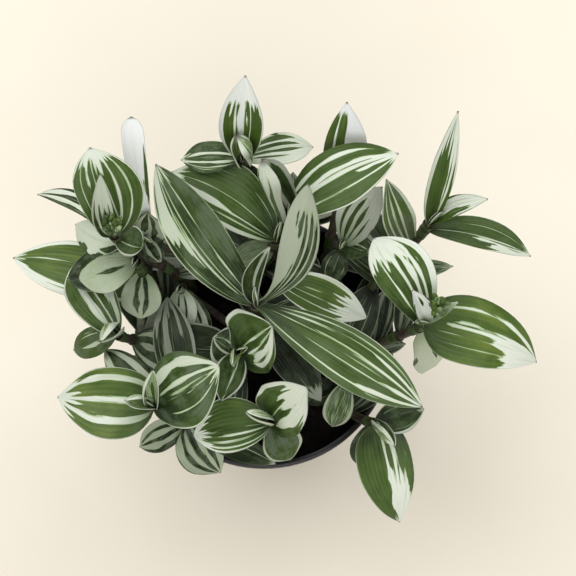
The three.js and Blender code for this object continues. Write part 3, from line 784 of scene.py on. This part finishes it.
        leafAt((12, 257), 104, 26, at=0.4, tip=0.84, comb=0.16, margin=(0.26, 0.1), tone=0.65,
               haze=0.1, lines=0, white=[(0.62, 0.014), (0.48, 0.01, 0.1)],
               green=[(0.12, 0.016, 0, 0.7)]),
        leafAt((141, 319), 124, 18, at=0.75, point=4, ground=0.66, tone=0.15, haze=0.8, shade=0.1,
               lines=1, green=[(0.38, 0.06, 0, 0.95), (0.62, 0.055, 0, 0.9)]),
    ]),
    ("stem_north_west", (-34, 26), (113, 233), 168, [
        leafAt((90, 148), 196, 27, point=5, arch=0.15, sway=0.09, tip=0.82, comb=0.12,
               margin=(0.015, 0.03), tone=0.5, haze=0.2, lines=0,
               white=[(0.13, 0.012), (0.33, 0.02, 0.3), (0.4, 0.03, 0.72), (0.62, 0.02), (0.8, 0.018),
                      (0.24, 0.05, 0.62)]),
        leafAt((100, 175), 201, 12, arch=0.15, furl=110, haze=0.6, shade=0.1, lines=0,
               white=whiteAllOver,
               green=[(0.88, 0.1, 0, 0.9), (0.1, 0.07, 0, 0.8), (0.3, 0.05, 0, 0.75),
                      (0.46, 0.05, 0, 0.66), (0.64, 0.05, 0, 0.74)]),
        leafAt((37, 194), 148, 9, sway=0.1, tone=0.1, white=[(0.3, 0.12), (0.75, 0.12)]),
        leafAt((143, 247), 159, 14, at=0.93, arch=0.15, furl=50, tip=0.95, margin=(0.06, 0.1),
               haze=0.5, shade=0.05, lines=1),
        leafAt((75, 224), 150, 17, at=0.82, point=1.7, sway=-0.08, furl=40, tone=0.4, haze=0.6,
               white=whiteAllOver, green=[(0.2, 0.12, 0, 0.35)]),
    ]),
    ("stem_north_west_inner", (-20, 38), (145, 238), 150, [
        leafAt((131, 117), 186, 9.5, swell=0.2, point=30, furl=50, tone=0.45, haze=-0.8,
               white=whiteAllOver,
               green=[(0.08, 0.06, 0.1, 0.64), (0.3, 0.03, 0, 0.5), (0.93, 0.07, 0.3, 0.82)]),
        leafAt((148, 213), 162, 17, at=0.9, tone=0.2, haze=0.9, shade=0.15,
               white=[(0.25, 0.08), (0.55, 0.04), (0.85, 0.1)]),
        leafAt((161, 262), 148, 11, arch=0.12, tone=0.1, haze=0.9, shade=0.35,
               white=[(0.3, 0.05), (0.7, 0.05)]),
    ]),
    ("stem_inner_west", (-14, 6), (180, 288), 114, [
        leafAt((184, 334), 112, 14, ground=0.85, tone=0.1, haze=0.4,
               green=[(0.35, 0.03, 0.1, 0.8), (0.6, 0.025, 0.1, 0.6)]),
        leafAt((204, 352), 104, 16, at=0.9, ground=0.85, tone=0.1, haze=0.4,
               green=[(0.3, 0.03, 0.1, 0.7), (0.55, 0.025, 0.2, 0.9), (0.05, 0.05, 0, 0.9)]),
    ]),
]


def placeSeen(pixel, height):
    # the place at a height above the floor that the photograph shows at a pixel
    middle, focal = studio["imagePixels"] / 2, studio["focalPixels"]
    sight = Vector(((pixel[0] - middle) / focal, (middle - pixel[1]) / focal, -1))
    sight.rotate(Quaternion((1, 0, 0), math.radians(90 - studio["pitch"])))
    eye = Vector(studio["eye"]) / millimetre
    return eye + sight * ((height - eye.z) / sight.z)


stalk = {
    "radius": 2.05, "swelling": 0.25, "swellingLength": 1.6,
    "leanShare": 0.2, "leanClimb": 0.5, "turnShare": 0.95, "turnClimb": 0.6,
    "sides": 14, "rings": 60, "topTaper": 3.0, "topShare": 0.35,
    "buried": 9.0, "buriedSpan": 60.0,  # below its curve a share of 1 is this far straight down
    "sharpAngle": 60,
}


def stemCurve(root, seen, height):
    # a stem leans out of the soil towards its crown, and turns up below it
    start = Vector((root[0], root[1], soil["level"]))
    end = placeSeen(seen, height)
    climb = end.z - start.z
    leaning = start.lerp(end, stalk["leanShare"])
    leaning.z = start.z + climb * stalk["leanClimb"]
    turning = start.lerp(end, stalk["turnShare"])
    turning.z = start.z + climb * stalk["turnClimb"]

    def at(share):
        rest = 1 - share
        return (start * rest ** 3 + leaning * (3 * rest * rest * share)
                + turning * (3 * rest * share * share) + end * share ** 3)
    return at


blade = {
    "thickness": 0.8, "shownThickness": 0.3,
    "baseHalfWidth": 1.3, "tipHalfWidth": 0.35,
    "columns": 32, "rows": 24,
    "crease": 0.55, "creaseWidth": 0.02, "wave": 0.04, "tightest": 0.6,
    "tipDroop": 0.2, "droopFrom": 0.7,
    "baseShade": 0.36, "baseShadeLength": 0.45,
    "neck": 2.1, "neckTurn": 1.3, "neckLength": 0.16,  # its channelled base, where it clasps the stem
    "waves": (1.2, 2.4), "phases": (0, 6), "lean": (-0.12, 0.12), "droops": (0.4, 1.3),
}


def outline(along, plan):
    # half the blade's width as a share of its greatest
    swell, point = plan["swell"], plan["point"]
    widest = (swell / (swell + point)) ** (1 / point)
    return (along ** swell * (1 - along ** point)) / (widest ** swell * (1 - widest ** point))


def tipOf(plan, base):
    if "seen" in plan:
        return placeSeen(plan["seen"], plan["height"])
    toward, reach = math.radians(plan["toward"]), plan["reach"]
    return base + Vector((reach * math.cos(toward), reach * math.sin(toward), plan["rise"]))


def bladeForm(plan, curve, draws):
    # returns the place of a point of the blade from its shares across, -1 to 1, and along, 0 to 1
    base = curve(plan["at"])
    tip = tipOf(plan, base)
    length = (tip - base).length
    forward = (tip - base).normalized()
    side = forward.cross(Vector((0, 0, 1))).normalized()
    side.rotate(Quaternion(forward, math.radians(plan["roll"])))
    up = side.cross(forward)
    width, arch, sway = plan["width"], plan["arch"], plan["sway"]
    halfFurl = math.radians(plan["furl"]) / 2
    winding = math.radians(plan["twist"])
    waves = draws.uniform(*blade["waves"])
    phases = (draws.uniform(*blade["phases"]), draws.uniform(*blade["phases"]))
    lean = draws.uniform(*blade["lean"])
    curl = blade["tipDroop"] * draws.uniform(*blade["droops"])

    def place(across, along):
        neck = clamp(1 - along / blade["neckLength"]) ** 2
        least = blade["baseHalfWidth"] + (blade["tipHalfWidth"] - blade["baseHalfWidth"]) * along
        half = max(width / 2 * outline(along, plan), least + (blade["neck"] - least) * neck)
        turn = halfFurl + (max(halfFurl, blade["neckTurn"]) - halfFurl) * neck
        turn = min(turn, half / (blade["tightest"] * blade["thickness"]))
        radius = half / turn
        angle = across * turn + winding * along
        bow = 4 * along * (1 - along)
        slope = math.atan(4 * arch * (1 - 2 * along))
        normal = up * math.cos(slope) - forward * math.sin(slope)
        ripple = math.sin(waves * 2 * math.pi * along + phases[across > 0]) * abs(across) ** 3
        crease = blade["crease"] * math.exp(-(across * across) / blade["creaseWidth"])
        uneven = blade["wave"] * width * ripple - crease + lean * half * across
        raised = radius * (1 - math.cos(angle)) + bow * uneven
        droop = curl * length * max(0.0, along - blade["droopFrom"]) ** 2
        return (base + forward * (length * along) + up * (arch * length * bow - droop)
                + side * (sway * length * bow + radius * math.sin(angle)) + normal * raised)
    return place


stripes = {
    "opening": 0.12, "closing": 0.2,  # how far along the blade a stripe comes and goes
    "uneven": 0.8, "unevenScales": (4.5, 23, 1.9),
    "strays": 0.02, "straysScales": (2.5, 31, 2.3),
    "softness": 0.06, "tipSoftness": 0.12, "marginSoftness": 0.05,
    "fingers": 2.6, "fingerScales": (11, 3.7, 0),
    "marginAtBase": 0.35,
    "lineMiddle": (0.08, 0.92), "lineHalf": (0.006, 0.016),
    "lineStart": (-0.1, 0.3), "lineEnd": (0.8, 1.2),
}


def noiseAt(place, scales):
    return noise.noise(Vector([part * scale for part, scale in zip(place, scales)]))


def stripe(across, along, number, middle, half, start=0, end=1.1):
    # 0.5 at the edge of the stripe, more within it
    closing = 1.0 if end > 1 else clamp((end - along) / stripes["closing"])
    grown = clamp((along - start) / stripes["opening"]) * closing
    if grown <= 0:
        return 0.0
    uneven = stripes["uneven"] * noiseAt((along, middle, number), stripes["unevenScales"])
    strayed = stripes["strays"] * noiseAt((along, middle, number), stripes["straysScales"])
    return 0.5 + (half * grown * (1 + uneven) - abs(across - middle - strayed)) / stripes["softness"]


def palenessOf(plan, number, draws):
    # returns how pale the blade is at a point, and at 0.5 is the edge of the white
    parts = ("lineMiddle", "lineHalf", "lineStart", "lineEnd")
    lines = [tuple(draws.uniform(*stripes[part]) for part in parts) for _ in range(plan["lines"])]
    left, right = plan["margin"]

    def at(across, along):
        value = plan["ground"]
        for band in plan["white"] + lines:
            value = max(value, stripe(across, along, number, *band))
        fingers = 1 - stripes["fingers"] * abs(noiseAt((across, number, 0), stripes["fingerScales"]))
        tipStart = plan["tip"] + plan["comb"] * fingers
        value = max(value, 0.5 + (along - tipStart) / stripes["tipSoftness"])
        growing = stripes["marginAtBase"] + (1 - stripes["marginAtBase"]) * along
        if left:
            value = max(value, 0.5 + (left * growing - across) / stripes["marginSoftness"])
        if right:
            value = max(value, 0.5 + (right * growing - 1 + across) / stripes["marginSoftness"])
        for band in plan["green"]:
            value = min(value, 1 - stripe(across, along, number, *band))
        return clamp(value)
    return at


def gridBlank(columns, rows):
    # a flat grid with a leaf's UV map and attributes, to be shaped as a leaf or wrapped round a curve
    bpy.ops.mesh.primitive_grid_add(x_subdivisions=columns, y_subdivisions=rows, size=2)
    blank = bpy.context.active_object
    blank.data.uv_layers[0].name = "leafUv"
    for name in ("paleness", "tone", "haze", "shade", "leafNumber"):
        blank.data.attributes.new(name, "FLOAT", "POINT")
    return blank


def leafBlank():
    # its rows are closer together near the base and the tip
    blank = gridBlank(blade["columns"], blade["rows"])
    for vertex in blank.data.vertices:
        vertex.co.y = -math.cos(math.pi * (vertex.co.y + 1) / 2)
    for loop, uv in zip(blank.data.loops, blank.data.uv_layers[0].data):
        spot = blank.data.vertices[loop.vertex_index].co
        uv.uv = ((spot.x + 1) / 2, (spot.y + 1) / 2)
    return blank


def setAll(piece, **values):
    # gives every point of a piece the same value, or each its own from a list
    for name, value in values.items():
        each = value if isinstance(value, list) else [value] * len(piece.data.vertices)
        piece.data.attributes[name].data.foreach_set("value", each)


def shapeAs(piece, places, number):
    patternStep = 1.37  # keeps the patterns of neighbouring numbers apart
    metres = [part for spot in places for part in spot * millimetre]
    piece.data.vertices.foreach_set("co", metres)
    setAll(piece, leafNumber=number * patternStep)
    piece.data.update()


def growLeaf(blank, plan, curve, number):
    draws = random.Random(number)
    leaf = copied(blank, f"leaf{number}")
    form = bladeForm(plan, curve, draws)
    paleness = palenessOf(plan, number, draws)
    shares = [((vertex.co.x + 1) / 2, (vertex.co.y + 1) / 2) for vertex in leaf.data.vertices]
    # painted shade: the leaf's own, and more towards the base of the blade, where the crown shades it
    inShade = [clamp(1 - along / blade["baseShadeLength"]) ** 2 for _, along in shares]
    shapeAs(leaf, [form(2 * across - 1, along) for across, along in shares], number)
    setAll(
        leaf, tone=plan["tone"], haze=plan["haze"],
        paleness=[paleness(across, along) for across, along in shares],
        shade=[plan["shade"] + blade["baseShade"] * dark for dark in inShade],
    )
    return leaf


def squareTo(curve, share):
    # two directions square to a curve, the first of them level
    step = 0.01
    along = (curve(min(share + step, 1.0)) - curve(max(share - step, 0.0))).normalized()
    level = (curve(1.0) - curve(0.0)).cross(Vector((0, 0, 1))).normalized()
    return level, level.cross(along)


def growTube(blank, name, curve, start, end, radiusAt, number):
    # wraps a grid round a curve between two shares of its length
    tube = copied(blank, name)
    places = []
    for vertex in tube.data.vertices:
        angle = math.pi * vertex.co.x
        share = start + (end - start) * (vertex.co.y + 1) / 2
        level, out = squareTo(curve, clamp(share))
        middle = curve(max(share, 0.0)) + Vector((0, 0, min(share, 0.0) * stalk["buriedSpan"]))
        radius = radiusAt(share, angle)
        places.append(middle + level * (radius * math.cos(angle)) + out * (radius * math.sin(angle)))
    shapeAs(tube, places, number)
    mergeWithin = 0.00002
    makeActive(tube)
    bpy.ops.object.mode_set(mode="EDIT")
    bpy.ops.mesh.select_all(action="SELECT")
    bpy.ops.mesh.remove_doubles(threshold=mergeWithin)
    bpy.ops.mesh.normals_make_consistent(inside=False)
    bpy.ops.object.mode_set(mode="OBJECT")
    return tube


lower = {
    "heights": [11, 23, 35], "rises": [-10, -5, 0], "belowCrown": 18, "step": 0.01,
    "riseSteps": [0, 10, -10], "reaches": [46, 40, 34, 28, 22], "longest": [46, 46, 40],
    "turns": [0, 20, -20, 40, -40, 60, -60, 80, -80],
    # the lower leaves get painted shade, and a strong haze, partly painted shade, as they stand under
    # the upper ones
    "scatter": 50, "seed": 7, "widthShare": 0.4, "arch": 0.14, "shade": 0.52,
    "match": 0.0008,  # metres between a place's tip and the corner of the solid that shows it is taken
    "tone": (0.0, 0.3), "haze": (0.5, 1.0), "lines": (2, 5),
    "tip": (0.75, 0.95), "comb": (0.08, 0.3), "margin": (0, 0.12),
    "striped": 0.6, "whitish": 0.75,  # draws below the first have white stripes, the next are white
    "whiteCount": (1, 4), "whiteMiddle": (0.15, 0.85), "whiteHalf": (0.02, 0.09),
    "greenCount": 3, "greenMiddle": (0.2, 0.8), "greenHalf": (0.03, 0.08), "greenEnd": (0.5, 0.95),
}


def evenDraws(seed):
    # the same numbers between 0 and 1 as in the part's source
    factor, modulus = 16807, 2147483647
    while True:
        seed = seed * factor % modulus
        yield seed / modulus


lowerDraws = evenDraws(lower["seed"])


def lowerPlans(name, curve):
    # the lower leaves stand in the places that the solids show to be taken
    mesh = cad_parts[name].data
    tree = KDTree(len(mesh.vertices))
    for index, vertex in enumerate(mesh.vertices):
        tree.insert(vertex.co, index)
    tree.balance()
    top = curve(1.0).z - lower["belowCrown"]
    middle = curve(0.5)
    outward = math.degrees(math.atan2(middle.y, middle.x))
    plans = []
    heights = [height for height in lower["heights"] if soil["level"] + height < top]
    for order, height in enumerate(heights):
        share = 0.0
        while curve(share).z < soil["level"] + height:
            share += lower["step"]
        ideal = outward + 180 * (order % 2) + (next(lowerDraws) - 0.5) * lower["scatter"]
        choices = [
            {**plainLeaf, "at": share, "toward": ideal + turn, "reach": reach,
             "rise": lower["rises"][order] + step, "width": reach * lower["widthShare"]}
            for reach in lower["reaches"] if reach <= lower["longest"][order]
            for turn in lower["turns"]
            for step in lower["riseSteps"]
        ]
        for plan in choices:
            tip = tipOf(plan, curve(share)) * millimetre
            if tree.find(tip)[2] < lower["match"]:
                plans.append(plan)
                break
    return plans


def lowerLook(draws):
    def drawn(setting):
        return draws.uniform(*lower[setting])

    kind = draws.random()
    style = {
        "arch": lower["arch"], "tone": drawn("tone"), "haze": drawn("haze"),
        "lines": draws.randint(*lower["lines"]), "shade": lower["shade"],
        "tip": drawn("tip"), "comb": drawn("comb"), "margin": (drawn("margin"), drawn("margin")),
    }
    if kind < lower["striped"]:
        count = draws.randint(*lower["whiteCount"])
        style["white"] = [(drawn("whiteMiddle"), drawn("whiteHalf")) for _ in range(count)]
    elif kind < lower["whitish"]:
        style["white"] = whiteAllOver
        style["green"] = [
            (drawn("greenMiddle"), drawn("greenHalf"), 0, drawn("greenEnd"))
            for _ in range(lower["greenCount"])
        ]
    return style


# Flower buds stand in a close bunch at two crowns, and every crown has a young leaf at its heart.
bud = {
    "bunches": {  # pixel and height of the middle, number of buds, and how far they spread
        "stem_north_west": ((111, 224), 186, 16, 3.0),
        "stem_right_crown": ((440, 306), 158, 26, 3.4),
    },
    "length": (3.2, 4.8), "radius": (0.8, 1.3), "sides": 10, "rings": 9,
    "heading": (-0.8, 0.8), "rise": (-0.7, 0.2), "fullness": 0.6, "least": 0.01,
    "lobes": 3, "lobeDepth": 0.08,
    "paleness": (0.2, 0.3, 0.44, 0.5), "tone": (0.2, 0.8), "haze": 0.2,
}
heart = {
    "length": (7, 11), "width": (4, 6), "reachShare": 0.55, "riseShare": 0.85, "twists": (-60, 60),
    "look": {**youngLook, "furl": 260, "point": 5, "swell": 0.3, "ground": 0.42, "tone": 0.9},
}


def growBud(blank, name, middle, spread, draws, number):
    heading = Vector((draws.uniform(*bud["heading"]), draws.uniform(*bud["heading"]), 1)).normalized()
    offset = Vector((draws.uniform(-1, 1), draws.uniform(-1, 1), draws.uniform(*bud["rise"])))
    base = middle + offset * spread
    length, thick = draws.uniform(*bud["length"]), draws.uniform(*bud["radius"])

    def path(share):
        return base + heading * (length * share)

    def radiusAt(share, angle):
        swelling = math.sin(math.pi * clamp(share)) ** bud["fullness"]
        lobed = 1 + bud["lobeDepth"] * math.cos(bud["lobes"] * angle)
        return thick * swelling * lobed + bud["least"]
    piece = growTube(blank, name, path, 0.0, 1.0, radiusAt, number)
    paleness, tone = draws.choice(bud["paleness"]), draws.uniform(*bud["tone"])
    setAll(piece, paleness=paleness, tone=tone, haze=bud["haze"])
    return piece


def heartPlan(draws):
    toward = draws.uniform(0, 360)
    long = draws.uniform(*heart["length"])
    return {
        **plainLeaf, **heart["look"], "toward": toward,
        "reach": long * heart["reachShare"], "rise": long * heart["riseShare"],
        "width": draws.uniform(*heart["width"]), "twist": draws.choice(heart["twists"]),
    }


sheath = {
    "length": 6.5, "overlap": 0.08, "gap": 0.2, "flare": 0.35, "lobes": 3, "lobeDepth": 0.12, "rings": 6,
    "paleness": 0.36, "tone": 0.3, "haze": 0.6,
}


def growSheath(blank, curve, span, place, number):
    # the swollen base of a leaf, wrapped round the stalk just below it
    long = sheath["length"] / span

    def radiusAt(share, angle):
        grown = clamp((share - place + long) / long)
        flared = sheath["gap"] + sheath["flare"] * grown ** 2
        return stalk["radius"] + flared + sheath["lobeDepth"] * math.sin(sheath["lobes"] * angle)
    end = min(place + sheath["overlap"] * long, 1.0)
    piece = growTube(blank, f"sheath{number}", curve, place - long, end, radiusAt, number)
    setAll(piece, paleness=sheath["paleness"], tone=sheath["tone"], haze=sheath["haze"])
    return piece


def growCane(blank, curve, span, nodesAt, number):
    def radiusAt(share, angle):
        away = [(share - place) * span / stalk["swellingLength"] for place in nodesAt]
        swell = sum(math.exp(-distance ** 2) for distance in away)
        end = clamp((1.0 - share) * span / stalk["topTaper"], stalk["topShare"], 1.0)
        return (stalk["radius"] + stalk["swelling"] * swell) * end
    start = -stalk["buried"] / stalk["buriedSpan"]
    cane = growTube(blank, "cane", curve, start, 1.0, radiusAt, number)
    giveMaterials(cane, *leafMaterials)
    for face in cane.data.polygons:
        face.material_index = caneIndex
    return cane


def growStems():
    leafGrid = leafBlank()
    stalkTube = gridBlank(stalk["sides"], stalk["rings"])
    sheathTube = gridBlank(stalk["sides"], sheath["rings"])
    budTube = gridBlank(bud["sides"], bud["rings"])
    number = 0
    lowerCount = 0
    for name, root, seen, height, leaves in stems:
        curve = stemCurve(root, seen, height)
        span = (curve(1.0) - curve(0.0)).length
        draws = random.Random(name)
        lowerLeaves = [{**plan, **lowerLook(draws)} for plan in lowerPlans(name, curve)]
        lowerCount += len(lowerLeaves)
        plans = leaves + lowerLeaves + [heartPlan(draws)]
        pieces = []
        for plan in plans:
            number += 1
            pieces.append(growLeaf(leafGrid, plan, curve, number))
        nodesAt = sorted({round(plan["at"], 2) for plan in plans})
        for place in nodesAt:
            number += 1
            pieces.append(growSheath(sheathTube, curve, span, place, number))
        if name in bud["bunches"]:
            budSeen, budHeight, count, spread = bud["bunches"][name]
            middle = placeSeen(budSeen, budHeight)
            for _ in range(count):
                number += 1
                pieces.append(growBud(budTube, f"bud{number}", middle, spread, draws, number))
        foliage = joined(pieces, name.replace("stem_", "shoot_"))
        giveMaterials(foliage, *leafMaterials)
        applyModifier(
            foliage, "SOLIDIFY", thickness=blade["shownThickness"] * millimetre, offset=0.0,
            material_offset=backIndex, use_rim=True,
        )
        cane = growCane(stalkTube, curve, span, nodesAt, number)
        piece = joined([foliage, cane], foliage.name)
        smoothShade(piece, stalk["sharpAngle"])
        handOver(piece, "foliage", name)
    for blank in (leafGrid, stalkTube, sheathTube, budTube):
        bpy.data.objects.remove(blank, do_unlink=True)
    print("stems grown:", len(stems))
    print("leaves, sheaths and buds grown:", number, "with", lowerCount, "lower leaves")


growStems()
